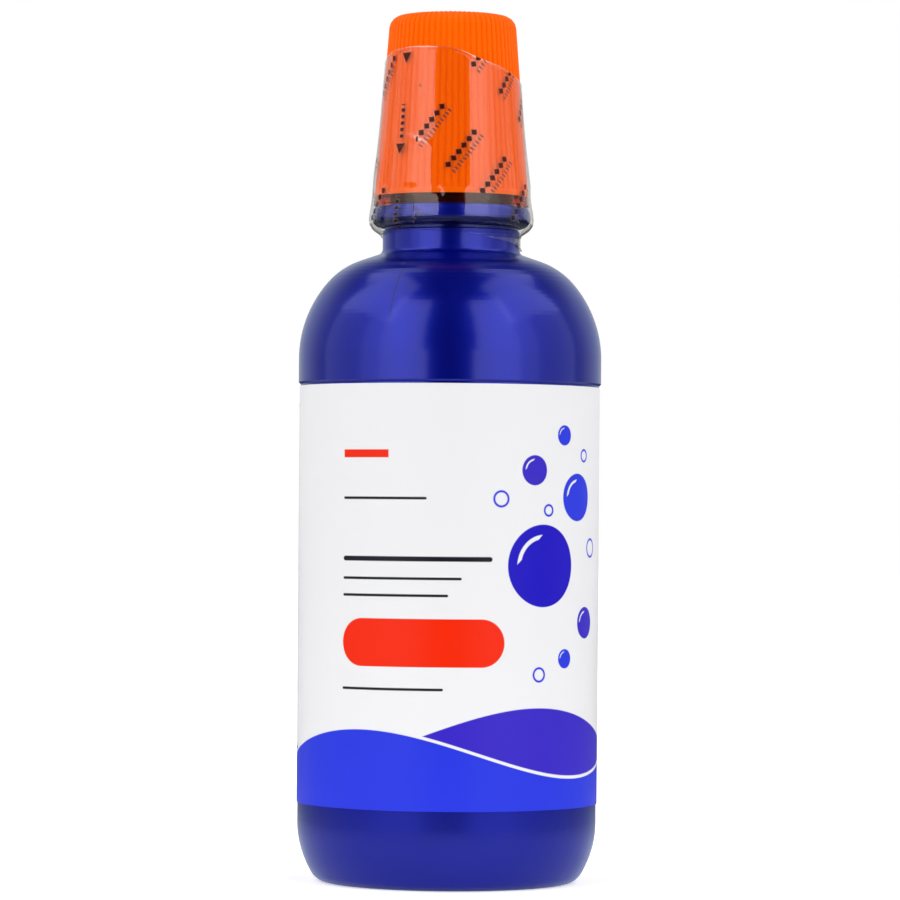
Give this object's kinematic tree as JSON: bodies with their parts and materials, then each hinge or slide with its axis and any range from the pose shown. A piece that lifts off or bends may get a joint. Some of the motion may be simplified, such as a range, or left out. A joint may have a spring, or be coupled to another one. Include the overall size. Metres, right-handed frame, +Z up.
{
  "type": "mouthwash bottle",
  "caption": "Round blow-moulded mouthwash bottle with a wraparound label, a tall ribbed screw cap that doubles as a dosing cup, and a clear shrink band over cap and neck.",
  "frame": {"origin": "on the bottle's axis, in the plane of the foot ring that it stands on", "axes": "+Z up along the bottle's axis, the label's front towards -Y"},
  "size_m": [0.07, 0.07, 0.2],
  "materials": {
    "bottle_blue": "satin blow-moulded",
    "label_film": "printed satin film",
    "ring_foam": "closed-cell foam",
    "cap_orange": "satin moulded",
    "band_clear": "clear glossy film"
  },
  "bodies": {
    "bottle": {"bottle": "bottle_blue", "label": "label_film"},
    "ring": {"sealing_ring": "ring_foam"},
    "cap": {"dosing_cap": "cap_orange"},
    "band": {"seal_band": "band_clear"}
  },
  "joints": [
    {"name": "cap_rise", "type": "slide", "parent": "bottle", "child": "ring", "axis": [0, 0, 1], "range_m": [0, 0.01681]},
    {"name": "cap_turn", "type": "hinge", "parent": "ring", "child": "cap", "pos_m": [0, 0, 0.165], "axis": [0, 0, 1], "range_deg": [0, 1440]},
    {"name": "band_pull", "type": "slide", "parent": "cap", "child": "band", "axis": [0, 0, 1], "range_m": [0, 0.052]}
  ],
  "couplings": [
    {"joint": "cap_rise", "follows": "cap_turn", "m_per_rad": 0.00066845}
  ]
}
